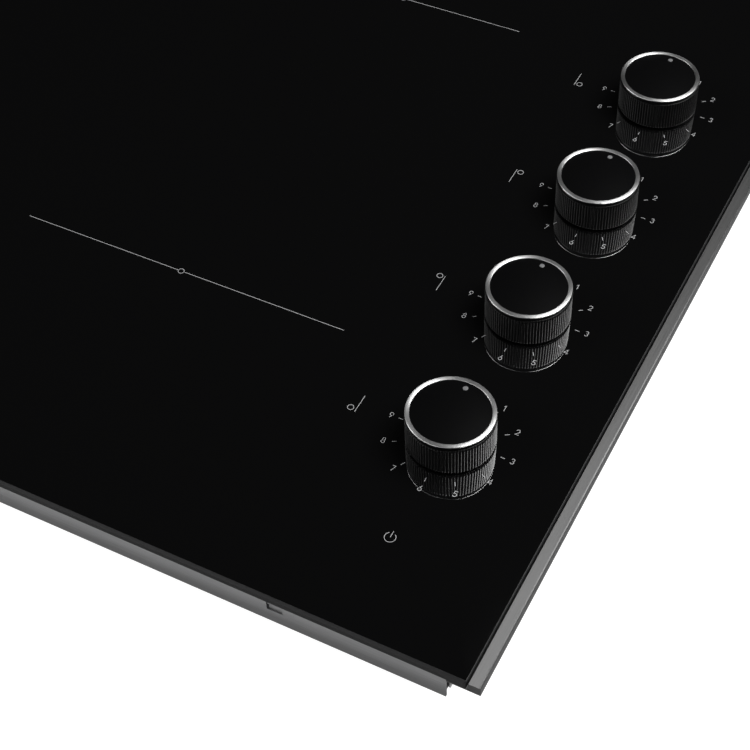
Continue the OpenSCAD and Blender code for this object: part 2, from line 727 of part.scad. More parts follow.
module knob_body(k) {
    plate_low = cap_z - 2.4;
    color([0.05, 0.05, 0.055]) translate([knob_x, knob_ys[k], 0]) difference() {
        union() {
            difference() {
                union() {
                    translate([0, 0, knob_low]) linear_extrude(knurl_top - knob_low)
                        polygon(knurl_outline(knurl_n, knob_r, knurl_depth));
                    translate([0, 0, knurl_top - 1]) cylinder(r = knob_r - 0.9, h = knob_neck + 1);
                }
                translate([0, 0, knob_low - 1]) cylinder(r = knob_r - knob_wall, h = plate_low - knob_low + 1);
                translate([0, 0, cap_z]) cylinder(r = cap_r + running_gap, h = 10);
            }
            translate([0, 0, knob_low + 0.5]) cylinder(r = hub_r, h = plate_low - knob_low);
        }
        translate([0, 0, knob_low - 1]) cylinder(r = shaft_r, h = shaft_up + 1);
    }
}

// metal ring with a flat inner land and a bevelled outer edge
module knob_ring(k) {
    edge = 0.5;
    color([0.85, 0.85, 0.86]) translate([knob_x, knob_ys[k], glass_top_z + knob_h - ring_h])
        rotate_extrude() polygon([[cap_r + running_gap, 0], [ring_r - 0.2, 0], [ring_r, 0.2],
            [ring_r, ring_h - edge], [ring_r - edge, ring_h], [cap_r + 0.35, ring_h],
            [cap_r + running_gap, ring_h - 0.3]]);
}

dot_r = 1.3;
dot_from_axis = 15.1 / 20.5 * knob_r;

module knob_cap(k) {
    color([0.03, 0.03, 0.033]) translate([knob_x, knob_ys[k], cap_z]) difference() {
        cylinder(r = cap_r, h = cap_t);
        translate([0, dot_from_axis, cap_t - 0.25]) cylinder(r = dot_r, h = 1, $fn = 32);
    }
}

glass_top();
glass_seal();
shaft_seals();
side_trim(-1);  // side_trim_left
side_trim(1);  // side_trim_right
front_rail();
rear_rail();
side_rail(-1);  // side_rail_left
side_rail(1);  // side_rail_right
base_pan();
case_screws();
coil_tray_left();
coil_tray_right();
tray_springs();
coil_former(0);  // coil_former_1
coil_former(1);  // coil_former_2
coil_former(2);  // coil_former_3
coil_former(3);  // coil_former_4
coil_winding(0);  // coil_winding_1
coil_winding(1);  // coil_winding_2
coil_winding(2);  // coil_winding_3
coil_winding(3);  // coil_winding_4
mica_sheets();
ferrite_bars();
pan_sensors();
coil_leads();
power_boards();
heat_sink(0);  // heat_sink_left
heat_sink(1);  // heat_sink_right
power_parts(0);  // power_parts_left
power_parts(1);  // power_parts_right
fan_housing(0);  // fan_housing_left
fan_housing(1);  // fan_housing_right
fan_rotor(0);  // fan_rotor_left
fan_rotor(1);  // fan_rotor_right
filter_board();
filter_parts();
terminal_block();
terminal_box();
cable_clamp();
control_board();
control_carrier();
touch_spring();
encoder_bodies();
encoder_shaft(0);  // encoder_shaft_1
encoder_shaft(1);  // encoder_shaft_2
encoder_shaft(2);  // encoder_shaft_3
encoder_shaft(3);  // encoder_shaft_4
knob_body(0);  // knob_body_1
knob_body(1);  // knob_body_2
knob_body(2);  // knob_body_3
knob_body(3);  // knob_body_4
knob_ring(0);  // knob_ring_1
knob_ring(1);  // knob_ring_2
knob_ring(2);  // knob_ring_3
knob_ring(3);  // knob_ring_4
knob_cap(0);  // knob_cap_1
knob_cap(1);  // knob_cap_2
knob_cap(2);  // knob_cap_3
knob_cap(3);  // knob_cap_4
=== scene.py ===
# %% [markdown]
# # A built-in induction cooktop
# The frame is already made: every solid sits in its real place, in metres, with X to the right,
# Y to the back and Z up. This lesson gives that frame its looks: a black glass panel with a ground
# edge, steel trims and rails, four knurled knobs, printed marks, and finishes for all the rest.
# We load the frame first and keep its box, so that at the end we can show that nothing grew.

import json
import math

import bmesh
import bpy
from mathutils import Matrix, Vector


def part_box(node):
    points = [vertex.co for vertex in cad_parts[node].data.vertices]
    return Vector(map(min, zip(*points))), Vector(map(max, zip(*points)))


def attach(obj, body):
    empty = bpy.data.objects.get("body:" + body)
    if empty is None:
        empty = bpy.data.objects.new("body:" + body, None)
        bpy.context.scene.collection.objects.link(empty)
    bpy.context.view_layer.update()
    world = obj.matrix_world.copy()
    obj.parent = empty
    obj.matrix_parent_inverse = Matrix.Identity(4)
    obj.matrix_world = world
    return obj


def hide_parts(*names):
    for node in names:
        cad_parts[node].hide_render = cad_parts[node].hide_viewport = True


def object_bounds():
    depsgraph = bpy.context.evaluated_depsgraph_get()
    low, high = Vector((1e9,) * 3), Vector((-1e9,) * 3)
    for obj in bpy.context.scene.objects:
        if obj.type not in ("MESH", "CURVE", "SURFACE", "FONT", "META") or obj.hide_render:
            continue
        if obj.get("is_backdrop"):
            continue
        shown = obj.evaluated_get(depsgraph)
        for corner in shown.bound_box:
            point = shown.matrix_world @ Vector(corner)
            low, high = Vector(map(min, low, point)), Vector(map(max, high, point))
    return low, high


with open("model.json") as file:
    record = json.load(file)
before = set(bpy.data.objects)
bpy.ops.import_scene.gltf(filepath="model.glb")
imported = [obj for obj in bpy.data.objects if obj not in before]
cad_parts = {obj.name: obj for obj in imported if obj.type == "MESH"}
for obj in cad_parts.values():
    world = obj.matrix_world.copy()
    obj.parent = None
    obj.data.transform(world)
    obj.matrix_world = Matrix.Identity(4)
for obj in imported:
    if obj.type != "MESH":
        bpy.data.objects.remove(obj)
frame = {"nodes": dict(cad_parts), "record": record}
cad_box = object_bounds()
scene = bpy.context.scene
scene.view_settings.view_transform = "Standard"
root_body = "cooktop"
mm = 0.001

# %% [markdown]
# ## Where things are
# A maker measures before cutting. The glass, the knobs, the rail and the coils are read from the
# frame's own boxes, so a change of size upstream moves the looks with it. The spacing of the knobs
# is a handy measuring stick: the camera is placed with it, and the printed marks round the knobs' axes.

# %% Measure the frame
glass_lo, glass_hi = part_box("glass_top")
glass_top_z = glass_hi.z
knob_numbers = (1, 2, 3, 4)


def middle_of(node):
    low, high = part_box(node)
    return (low + high) / 2


knob_axes = [middle_of(f"knob_body_{k}").xy for k in knob_numbers]
knob_pitch = (knob_axes[1] - knob_axes[0]).length
ring_lo, ring_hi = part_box("knob_ring_1")
body_lo, body_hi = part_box("knob_body_1")
cap_lo, cap_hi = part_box("knob_cap_1")
knob_r = (body_hi.x - body_lo.x) / 2
ring_r = (ring_hi.x - ring_lo.x) / 2
cap_r = (cap_hi.x - cap_lo.x) / 2
print("glass", [round(v / mm, 1) for v in glass_hi - glass_lo], "mm; knobs every",
      round(knob_pitch / mm, 1), "mm, radius", round(knob_r / mm, 1))

# %% [markdown]
# ## The camera
# A flat thing shows best through a long lens from above, which keeps its edges nearly parallel.
# The camera stands in front and to the right of the knobs, looks down and to the left, and is
# rolled a little. We place it in steps of the knob spacing, counted from the first knob's foot,
# and build its turn from the direction it looks in.

# %% Place the camera
first_foot = Vector((knob_axes[0].x, knob_axes[0].y, glass_top_z))
camera_data = bpy.data.cameras.new("camera")
camera = bpy.data.objects.new("camera", camera_data)
scene.collection.objects.link(camera)
scene.camera = camera
camera_data.sensor_width = 36
camera_data.lens = 79.65
camera_data.clip_start = 0.05
camera_data.clip_end = 60
camera.location = first_foot + knob_pitch * Vector((2.394, -4.938, 6.942))
looks_along = Vector((-0.3242, 0.5643, -0.7593)).normalized()
camera_roll = math.radians(-3.15)
camera.rotation_mode = "QUATERNION"
level_turn = looks_along.to_track_quat("-Z", "Y")
camera.rotation_quaternion = level_turn @ Matrix.Rotation(camera_roll, 3, "Z").to_quaternion()
print("camera at", [round(v, 3) for v in camera.location])

# %% [markdown]
# ## The floor and the light
# The cooktop lies on a pale floor that fills the view. Its glass is a black mirror: whatever stands
# opposite the camera shows in it, so that part of the room stays dark. A wide soft box overhead
# lights the print and the metal and draws the bright arcs on the knob rings. A low box in front
# lights the rail's web, one on the right picks out the knurl and the edges that face it, and a weak
# one on the left fills the far sides of the rings. The pale floor only shows to the camera: a
# darker card under it stands in for the light that the floor throws back, so that the metal and
# the glass edges don't wash out.

# %% Make the floor
def node_of(material, kind, **values):
    made = material.node_tree.nodes.new(kind)
    for name, value in values.items():
        if name in made.inputs:
            made.inputs[name].default_value = value
        else:
            setattr(made, name, value)
    return made


def flat_square(name, half, height, material):
    mesh = bpy.data.meshes.new(name)
    mesh.from_pydata([(-half, -half, 0), (half, -half, 0), (half, half, 0), (-half, half, 0)], [],
                     [(0, 1, 2, 3)])
    mesh.materials.append(material)
    square = bpy.data.objects.new(name, mesh)
    square.location.z = height
    scene.collection.objects.link(square)
    square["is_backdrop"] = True
    return square


def pale(name, tone, glow):
    made = bpy.data.materials.new(name)
    made.use_nodes = True
    shader = made.node_tree.nodes["Principled BSDF"]
    shader.inputs["Base Color"].default_value = (tone, tone, tone, 1)
    shader.inputs["Roughness"].default_value = 0.9
    shader.inputs["Specular IOR Level"].default_value = 0.0
    shader.inputs["Emission Color"].default_value = (1, 1, 1, 1)
    shader.inputs["Emission Strength"].default_value = glow
    return made


floor_half, bounce_half = 16.0, 2.5
floor_z = cad_box[0].z - 0.0002
floor = flat_square("floor", floor_half, floor_z, pale("pale_floor", 0.3, 0.96))
floor.visible_diffuse = False
floor.visible_glossy = False
floor.visible_shadow = False
bounce_card = flat_square("bounce_card", bounce_half, floor_z - 0.001, pale("bounce_card", 0.32, 0.03))
bounce_card.visible_camera = False

world = bpy.data.worlds.new("dark_room")
scene.world = world
world.use_nodes = True
world.node_tree.nodes["Background"].inputs["Color"].default_value = (0.002, 0.002, 0.002, 1)
world.node_tree.nodes["Background"].inputs["Strength"].default_value = 1.0
print("floor", 2 * floor_half, "m wide")


# %% Hang the lights
def soft_box(name, place, aim, size, watts):
    data = bpy.data.lights.new(name, "AREA")
    data.shape = "RECTANGLE"
    data.size, data.size_y = size
    data.energy = watts
    lamp = bpy.data.objects.new(name, data)
    lamp.location = place
    lamp.rotation_mode = "QUATERNION"
    lamp.rotation_quaternion = (Vector(aim) - Vector(place)).to_track_quat("-Z", "Y")
    scene.collection.objects.link(lamp)
    return lamp


work_centre = Vector((0.1, -0.05, glass_top_z))
soft_box("overhead_box", (0.86, 0.38, 1.52), work_centre, (1.3, 1.1), 52)
soft_box("right_box", (1.55, 0.72, 0.4), first_foot, (0.9, 0.5), 3.0)
soft_box("left_fill", (-1.2, -0.55, 1.05), first_foot, (0.9, 0.9), 11)
soft_box("front_low_box", (-0.42, -1.75, 0.3), (0.1, -0.26, 0.04), (1.5, 0.5), 9.2)

# %% [markdown]
# ## How a finish is built
# Real surfaces are never one flat tone: rolled sheet has streaks, moulded plastic has a fine
# orange-peel skin, print has a slight tooth. Each finish starts as one Principled shader with its
# fixed numbers on the shader itself, then small helpers let a noise pattern stir its colour, its
# roughness and its height. The noise reads object coordinates, so its grain has a real size.


# %% Finish helpers
def finish(name, colour, metallic=0.0, roughness=0.5, **fixed):
    made = bpy.data.materials.new(name)
    made.use_nodes = True
    shader = made.node_tree.nodes["Principled BSDF"]
    shader.inputs["Base Color"].default_value = (*colour, 1)
    shader.inputs["Metallic"].default_value = metallic
    shader.inputs["Roughness"].default_value = roughness
    for socket, value in fixed.items():
        shader.inputs[socket.replace("_", " ")].default_value = value
    return made


def shader_of(material):
    return material.node_tree.nodes["Principled BSDF"]


def grain(material, per_metre, detail=4.0, roughness=0.55, space="Object"):
    """Noise whose grain has its own size along each axis; per_metre counts its waves."""
    links = material.node_tree.links
    coords = node_of(material, "ShaderNodeTexCoord")
    sizes = node_of(material, "ShaderNodeMapping", Scale=per_metre)
    noise = node_of(material, "ShaderNodeTexNoise", Scale=1.0, Detail=detail, Roughness=roughness)
    links.new(coords.outputs[space], sizes.inputs["Vector"])
    links.new(sizes.outputs["Vector"], noise.inputs["Vector"])
    return noise.outputs["Fac"]


def stir_colour(material, source, dark, light, low=0.3, high=0.7):
    ramp = node_of(material, "ShaderNodeValToRGB")
    ramp.color_ramp.elements[0].position = low
    ramp.color_ramp.elements[1].position = high
    ramp.color_ramp.elements[0].color = (*dark, 1)
    ramp.color_ramp.elements[1].color = (*light, 1)
    material.node_tree.links.new(source, ramp.inputs["Fac"])
    material.node_tree.links.new(ramp.outputs["Color"], shader_of(material).inputs["Base Color"])


def stir_roughness(material, source, low, high):
    spread = node_of(material, "ShaderNodeMapRange")
    spread.inputs["From Min"].default_value = 0.3
    spread.inputs["From Max"].default_value = 0.7
    spread.inputs["To Min"].default_value = low
    spread.inputs["To Max"].default_value = high
    material.node_tree.links.new(source, spread.inputs["Value"])
    material.node_tree.links.new(spread.outputs["Result"], shader_of(material).inputs["Roughness"])


def stir_height(material, source, depth, strength=1.0):
    bump = node_of(material, "ShaderNodeBump", Strength=strength, Distance=depth)
    material.node_tree.links.new(source, bump.inputs["Height"])
    material.node_tree.links.new(bump.outputs["Normal"], shader_of(material).inputs["Normal"])


def brush_along(material, direction):
    """Anisotropic highlights run across the brushing, so the shader is told its direction."""
    way = node_of(material, "ShaderNodeCombineXYZ")
    for axis, value in zip("XYZ", direction):
        way.inputs[axis].default_value = value
    material.node_tree.links.new(way.outputs["Vector"], shader_of(material).inputs["Tangent"])


def scaled(colour, factor):
    return tuple(min(1.0, c * factor) for c in colour)


# %% [markdown]
# ## Black glass and its ground edge
# Ceramic cooktop glass is coloured through and polished, so it is almost black with a strong clear
# reflection. A plain dark gloss would do; a faint drift in roughness keeps it from looking like
# painted card. The edge is ground and only half polished, so it is greyer and duller: a second
# finish on the same piece.

# %% Glass finishes
black_glass = finish("black_glass", (0.0026, 0.0026, 0.0027), roughness=0.03, IOR=4.2)
stir_roughness(black_glass, grain(black_glass, (14, 14, 14), detail=3), 0.012, 0.03)

ground_glass = finish("ground_glass_edge", (0.02, 0.02, 0.021), roughness=0.5, IOR=1.52,
                      Specular_IOR_Level=0.25)
edge_grain = grain(ground_glass, (900, 900, 900), detail=2)
stir_colour(ground_glass, edge_grain, (0.008, 0.008, 0.0083), (0.014, 0.014, 0.0145))
stir_roughness(ground_glass, edge_grain, 0.44, 0.58)


# %% [markdown]
# ## Steel, brushed along its length
# The trims and rails are stainless sheet and bar with a straight brushed finish. Brushing is a set
# of long fine scratches, so we stretch the noise a few hundred times along the bar and let it stir
# the roughness and a hair of height. The shader's anisotropy spreads the highlight across the
# scratches, the way real brushed steel glows.

# %% Brushed steel finishes
def brushed_steel(name, colour, along, roughness, anisotropy=0.6, painted_shade=None):
    """painted_shade: (low height, high height, tone at the low one) paints shade on the sheet, darker
    towards its fold.
    """
    made = finish(name, colour, metallic=1.0, roughness=roughness, Anisotropic=anisotropy,
                  Anisotropic_Rotation=0.25)
    across, length = 5200, 26
    waves = tuple(length if a else across for a in along)
    scratches = grain(made, waves, detail=3, roughness=0.6)
    tone = scratches
    # Painted shade: a ramp on object height darkens the sheet towards its lower fold, standing in for the
    # dimmer reflection low on the web.
    if painted_shade:
        links = made.node_tree.links
        coords = node_of(made, "ShaderNodeTexCoord")
        parts = node_of(made, "ShaderNodeSeparateXYZ")
        ramp = node_of(made, "ShaderNodeMapRange", interpolation_type="SMOOTHSTEP")
        low, high, darkest = painted_shade
        limits = {"From Min": low, "From Max": high, "To Min": darkest, "To Max": 0.0}
        for socket, value in limits.items():
            ramp.inputs[socket].default_value = value
        lowered = node_of(made, "ShaderNodeMath", operation="SUBTRACT")
        links.new(coords.outputs["Object"], parts.inputs["Vector"])
        links.new(parts.outputs["Z"], ramp.inputs["Value"])
        links.new(scratches, lowered.inputs[0])
        links.new(ramp.outputs["Result"], lowered.inputs[1])
        tone = lowered.outputs["Value"]
    dark_share, ramp_low = (0.5, 0.0) if painted_shade else (0.86, 0.3)
    stir_colour(made, tone, scaled(colour, dark_share), scaled(colour, 1.12), ramp_low)
    stir_roughness(made, scratches, roughness - 0.05, roughness + 0.09)
    stir_height(made, scratches, 0.000012, 0.35)
    brush_along(made, along)
    return made


rail_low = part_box("front_rail")[0].z
rail_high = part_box("front_rail")[1].z
# The trim's dark tone is painted shade: the same stainless as the rails, darkened to stand in for the dim
# reflection on its top.
trim_steel = brushed_steel("trim_steel", (0.1, 0.1, 0.1), (0, 1, 0), 0.48)
# The long rail gets painted shade, darker towards its lower fold.
rail_steel = brushed_steel("rail_steel_long", (0.38, 0.38, 0.384), (1, 0, 0), 0.46, 0.6,
                           (rail_low, rail_high, 0.55))
side_rail_steel = brushed_steel("rail_steel_side", (0.6, 0.6, 0.605), (0, 1, 0), 0.38)
print("steel finishes:", trim_steel.name, rail_steel.name, side_rail_steel.name)

# %% [markdown]
# ## The knob's three finishes
# The grip is satin black metal or plastic, the ring is steel turned on a lathe, and the cap is a
# satin black disc. Turning leaves rings round the axis, so the ring's highlight must fan out from
# the centre: a radial tangent does that. Each knob piece is made round its own axis, so object
# coordinates start at that axis.

# %% Knob finishes
knob_black = finish("knob_satin_black", (0.003, 0.003, 0.0031), roughness=0.3, IOR=1.5,
                    Specular_IOR_Level=0.13)
knob_skin = grain(knob_black, (3200, 3200, 3200), detail=2)
stir_roughness(knob_black, knob_skin, 0.26, 0.36)
stir_height(knob_black, knob_skin, 0.00001, 0.3)

ring_steel = finish("ring_turned_steel", (0.62, 0.62, 0.62), metallic=1.0, roughness=0.42,
                    Anisotropic=0.75, Anisotropic_Rotation=0.25)
ring_tangent = node_of(ring_steel, "ShaderNodeTangent", direction_type="RADIAL", axis="Z")
ring_steel.node_tree.links.new(ring_tangent.outputs["Tangent"], shader_of(ring_steel).inputs["Tangent"])
ring_coords = node_of(ring_steel, "ShaderNodeTexCoord")
ring_flat = node_of(ring_steel, "ShaderNodeVectorMath", operation="MULTIPLY")
ring_flat.inputs[1].default_value = (1, 1, 0)
ring_distance = node_of(ring_steel, "ShaderNodeVectorMath", operation="LENGTH")
ring_lines = node_of(ring_steel, "ShaderNodeTexNoise", Scale=9000.0, Detail=2.0)
ring_lines.noise_dimensions = "1D"
ring_links = ring_steel.node_tree.links
ring_links.new(ring_coords.outputs["Object"], ring_flat.inputs[0])
ring_links.new(ring_flat.outputs["Vector"], ring_distance.inputs[0])
ring_links.new(ring_distance.outputs["Value"], ring_lines.inputs["W"])
stir_roughness(ring_steel, ring_lines.outputs["Fac"], 0.36, 0.46)
stir_colour(ring_steel, ring_lines.outputs["Fac"], (0.54, 0.54, 0.54), (0.68, 0.68, 0.68))

cap_black = finish("cap_satin_black", (0.0018, 0.0018, 0.0019), roughness=0.4, IOR=1.45,
                   Specular_IOR_Level=0.02)
stir_roughness(cap_black, grain(cap_black, (2400, 2400, 2400), detail=2), 0.34, 0.48)

dot_grey = finish("dot_grey_paint", (0.12, 0.12, 0.122), roughness=0.5, Specular_IOR_Level=0.1)
stir_colour(dot_grey, grain(dot_grey, (2600, 2600, 2600)), (0.1, 0.1, 0.102), (0.14, 0.14, 0.142))

print_ink = finish("print_ink", (0.34, 0.34, 0.345), roughness=0.55)
stir_colour(print_ink, grain(print_ink, (2200, 2200, 2200)), (0.29, 0.29, 0.295), (0.4, 0.4, 0.405))

# %% [markdown]
# ## Finishes for the rest
# The pan is galvanised: zinc crystals leave a spangle, which Voronoi cells draw well. Circuit
# boards get a faint net of tracks under the green mask. Everything else is a moulding, a casting or
# a wire, and a table of base tone, roughness and grain is enough: the noise is what keeps each from
# being one flat colour.

# %% Galvanised sheet
galvanised = finish("galvanised_sheet", (0.56, 0.57, 0.58), metallic=1.0, roughness=0.42)
spangle_coords = node_of(galvanised, "ShaderNodeTexCoord")
spangle = node_of(galvanised, "ShaderNodeTexVoronoi", Scale=150.0, Randomness=1.0)
spangle_links = galvanised.node_tree.links
spangle_links.new(spangle_coords.outputs["Object"], spangle.inputs["Vector"])
spangle_tone = node_of(galvanised, "ShaderNodeSeparateColor")
spangle_links.new(spangle.outputs["Color"], spangle_tone.inputs["Color"])
stir_colour(galvanised, spangle_tone.outputs["Red"], (0.48, 0.49, 0.5), (0.64, 0.65, 0.66), 0.0, 1.0)
stir_roughness(galvanised, spangle_tone.outputs["Green"], 0.34, 0.5)

# %% Circuit board mask
board_green = finish("board_mask", (0.02, 0.11, 0.055), roughness=0.32, IOR=1.5)
board_coords = node_of(board_green, "ShaderNodeTexCoord")
board_net = node_of(board_green, "ShaderNodeTexBrick", Scale=160.0)
board_net.inputs["Color1"].default_value = (0.02, 0.12, 0.06, 1)
board_net.inputs["Color2"].default_value = (0.015, 0.09, 0.045, 1)
board_net.inputs["Mortar"].default_value = (0.05, 0.2, 0.1, 1)
board_net.inputs["Mortar Size"].default_value = 0.03
board_green.node_tree.links.new(board_coords.outputs["Object"], board_net.inputs["Vector"])
board_green.node_tree.links.new(board_net.outputs["Color"], shader_of(board_green).inputs["Base Color"])


# %% Plain finishes from a table
def grained(name, colour, metallic, roughness, per_metre, spread=0.12, depth=0.00001):
    made = finish(name, colour, metallic=metallic, roughness=roughness)
    source = grain(made, per_metre, detail=3)
    stir_colour(made, source, scaled(colour, 1 - spread), scaled(colour, 1 + spread))
    stir_roughness(made, source, max(0.05, roughness - 0.06), min(1.0, roughness + 0.08))
    stir_height(made, source, depth, 0.4)
    return made


even = (1600, 1600, 1600)
slot_finishes = {
    "black_glass": black_glass,
    "trim_steel": trim_steel,
    "rail_steel": rail_steel,
    "pan_steel": galvanised,
    "circuit_board": board_green,
    "knob_plastic": knob_black,
    "ring_steel": ring_steel,
    "cap_plastic": cap_black,
    "seal_rubber": grained("seal_rubber", (0.02, 0.02, 0.021), 0, 0.75, (900, 900, 900), 0.2),
    "screw_steel": grained("zinc_plated_steel", (0.62, 0.62, 0.63), 1, 0.34, (700, 700, 700)),
    "tray_aluminium": grained("mill_aluminium", (0.74, 0.75, 0.76), 1, 0.38, (30, 2400, 2400)),
    "spring_steel": grained("spring_wire", (0.5, 0.5, 0.52), 1, 0.32, (60, 60, 3000)),
    "former_plastic": grained("former_plastic", (0.06, 0.06, 0.064), 0, 0.55, even, 0.2),
    "coil_copper": grained("enamelled_copper", (0.55, 0.24, 0.1), 1, 0.36, (2600, 2600, 400), 0.22),
    "mica": grained("pressed_mica", (0.6, 0.54, 0.4), 0, 0.42, (260, 260, 260), 0.2),
    "ferrite": grained("ferrite", (0.055, 0.052, 0.05), 0, 0.6, (1200, 1200, 1200), 0.25),
    "sensor_ceramic": grained("sensor_ceramic", (0.75, 0.74, 0.7), 0, 0.5, even, 0.06),
    "lead_sleeve": grained("silicone_sleeve", (0.62, 0.6, 0.54), 0, 0.5, even, 0.08),
    "sink_aluminium": grained("extruded_aluminium", (0.7, 0.71, 0.72), 1, 0.36, (2400, 24, 2400)),
    "parts_plastic": grained("potted_parts", (0.05, 0.07, 0.13), 0, 0.36, even, 0.3),
    "fan_plastic": grained("fan_plastic", (0.022, 0.022, 0.024), 0, 0.45, even, 0.2),
    "terminal_plastic": grained("terminal_plastic", (0.62, 0.6, 0.54), 0, 0.45, even, 0.08),
    "box_plastic": grained("box_plastic", (0.026, 0.026, 0.028), 0, 0.5, even, 0.2),
    "carrier_plastic": grained("carrier_plastic", (0.1, 0.1, 0.105), 0, 0.5, even, 0.15),
    "encoder_metal": grained("encoder_plate", (0.5, 0.5, 0.52), 1, 0.4, (900, 900, 900)),
    "shaft_metal": grained("turned_shaft", (0.66, 0.66, 0.67), 1, 0.3, (200, 200, 4200)),
}
print("finishes:", len(slot_finishes))


# %% [markdown]
# ## Dressing the solids that stay
# Every solid in the frame names a material slot in its record. We look the slot up and hand the
# solid its finish. The mesh itself is never touched; where an edge catches the light we add a small
# bevel as a modifier, because a perfectly sharp sheet edge never shows a highlight.

# %% Dress the frame's own solids
def dress(piece, material):
    piece.data.materials.clear()
    piece.data.materials.append(material)


def soften(piece, width, segments=2, angle=32):
    weld = piece.modifiers.new("weld", "WELD")
    weld.merge_threshold = 0.00001
    bevel = piece.modifiers.new("soft_edges", "BEVEL")
    bevel.width = width
    bevel.segments = segments
    bevel.limit_method = "ANGLE"
    bevel.angle_limit = math.radians(angle)
    bevel.harden_normals = True
    return piece


slot_of = {row["node"]: row["material_slot"] for row in frame["record"]["subparts"]}
for name, solid in frame["nodes"].items():
    dress(solid, slot_finishes[slot_of[name]])
for name in ("side_rail_left", "side_rail_right"):
    dress(frame["nodes"][name], side_rail_steel)
print("dressed", len(slot_of), "solids")

# %% [markdown]
# ## The glass panel
# The panel is cut from a sheet, its corners are rounded, and its upper edge is ground to a bevel:
# wide at the front and back, narrow at the sides. A box with a bevel would give every side the same
# width, so we draw the rounded outline once, stack copies of it, each a little higher or further
# in, and skin between them. The flats are filled round the four holes for the knob shafts.


# %% Small helpers for meshes
def link(name, mesh, *materials):
    for material in materials:
        mesh.materials.append(material)
    piece = bpy.data.objects.new(name, mesh)
    scene.collection.objects.link(piece)
    return piece


def smooth(mesh, angle=30):
    mesh.polygons.foreach_set("use_smooth", [True] * len(mesh.polygons))
    mesh.set_sharp_from_angle(angle=math.radians(angle))


def closed_mesh(name, build):
    """Turns a finished bmesh into a mesh and says how many edges are left open."""
    bmesh.ops.recalc_face_normals(build, faces=build.faces)
    left_open = sum(1 for edge in build.edges if not edge.is_manifold)
    mesh = bpy.data.meshes.new(name)
    build.to_mesh(mesh)
    build.free()
    return mesh, left_open


def circle(centre, radius, count):
    return [centre + radius * Vector((math.cos(math.tau * i / count), math.sin(math.tau * i / count)))
            for i in range(count)]


# %% Outline of the panel
def rounded_outline(half_x, half_y, radius, steps=10):
    """Points and outward directions of a rounded rectangle, anticlockwise from the right side."""
    points = []
    for quarter, (sx, sy) in enumerate(((1, 1), (-1, 1), (-1, -1), (1, -1))):
        for step in range(steps + 1):
            a = math.radians(90 * quarter + 90 * step / steps)
            out = Vector((math.cos(a), math.sin(a)))
            points.append((Vector((sx * (half_x - radius), sy * (half_y - radius))) + out * radius, out))
    return points


def eased(start, corner, end, steps=3):
    """A short curve from start to end, drawn towards the corner between them."""
    return [tuple((1 - t) ** 2 * s + 2 * t * (1 - t) * c + t * t * e for s, c, e in zip(start, corner, end))
            for t in (step / steps for step in range(steps + 1))]


def ground_section(width, soft):
    """The bevel as (way in, way down) from the sharp upper edge, from low to high."""
    lean = soft / math.sqrt(2)
    return (eased((0, width + soft), (0, width), (lean, width - lean))
            + eased((width - lean, lean), (width, 0), (width + soft, 0)))


# %% Build the panel
corner_radius = 1.5 * mm
front_bevel, side_arris, under_arris = 1.0 * mm, 0.5 * mm, 0.25 * mm
shaft_hole_r, hole_steps = 4.3 * mm, 48
glass_half = (glass_hi - glass_lo) / 2
glass_middle = (glass_hi + glass_lo) / 2
build = bmesh.new()
stations = []
for point, out in rounded_outline(glass_half.x, glass_half.y, corner_radius):
    wide = side_arris * out.x ** 2 + front_bevel * out.y ** 2
    section = [(under_arris, glass_lo.z), (0, glass_lo.z + under_arris)]
    section += [(way_in, glass_hi.z - down) for way_in, down in ground_section(wide, 0.12 * mm)]
    stations.append([build.verts.new((*(glass_middle.xy + point - out * way_in), z))
                     for way_in, z in section])
for this, following in zip(stations, stations[1:] + stations[:1]):
    for low in range(len(this) - 1):
        build.faces.new((this[low], following[low], following[low + 1], this[low + 1])).material_index = 1
holes = {}
for level, z in ((0, glass_lo.z), (-1, glass_hi.z)):
    rims = [[station[level] for station in stations]]
    for number, axis in zip(knob_numbers, knob_axes):
        rim_spots = circle(axis, shaft_hole_r, hole_steps)
        holes[number, level] = [build.verts.new((*spot, z)) for spot in rim_spots]
        rims.append(holes[number, level])
    edges = [build.edges.get((a, b)) or build.edges.new((a, b))
             for rim in rims for a, b in zip(rim, rim[1:] + rim[:1])]
    bmesh.ops.triangle_fill(build, edges=edges, use_beauty=True)
for number in knob_numbers:
    low, high = holes[number, 0], holes[number, -1]
    for i in range(hole_steps):
        j = (i + 1) % hole_steps
        build.faces.new((low[i], low[j], high[j], high[i])).material_index = 1
panel_mesh, left_open = closed_mesh("glass_panel", build)
smooth(panel_mesh, 20)
glass_panel = link("glass_panel", panel_mesh, black_glass, ground_glass)
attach(glass_panel, root_body)
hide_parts("glass_top")
print("glass panel:", len(panel_mesh.polygons), "faces,", left_open, "open edges")

# %% [markdown]
# ## The knobs
# Each knob is a turned blank with a straight knurl rolled round it: ninety round-backed ribs that
# die away in a chamfer at each end. A rib could be copied round the axis, but one skin is cleaner:
# we write the section of the blank as radii and heights, and let the ribs press the radius in
# wherever the section lies in the knurl. A narrow neck above the knurl, and the ring's foot painted
# black as shade, make the dark line under the ring.


# %% Turning a section round the knob's axis
def turned(name, section, count, radius_at=None):
    """Turns (radius, height, ribbed) points round Z; a radius of 0 closes the skin in one point."""
    build = bmesh.new()
    rows = []
    for radius, height, ribbed in section:
        if radius == 0:
            rows.append([build.verts.new((0, 0, height))])
            continue
        row = []
        for i in range(count):
            a = math.tau * i / count
            r = min(radius, radius_at(a)) if ribbed and radius_at else radius
            row.append(build.verts.new((r * math.cos(a), r * math.sin(a), height)))
        rows.append(row)
    wraps = section[0][0] != 0
    for low, high in zip(rows, rows[1:] + (rows[:1] if wraps else [])):
        for i in range(count):
            j = (i + 1) % count
            corners = (low[i % len(low)], low[j % len(low)], high[j % len(high)], high[i % len(high)])
            build.faces.new(tuple(dict.fromkeys(corners)))
    return closed_mesh(name, build)


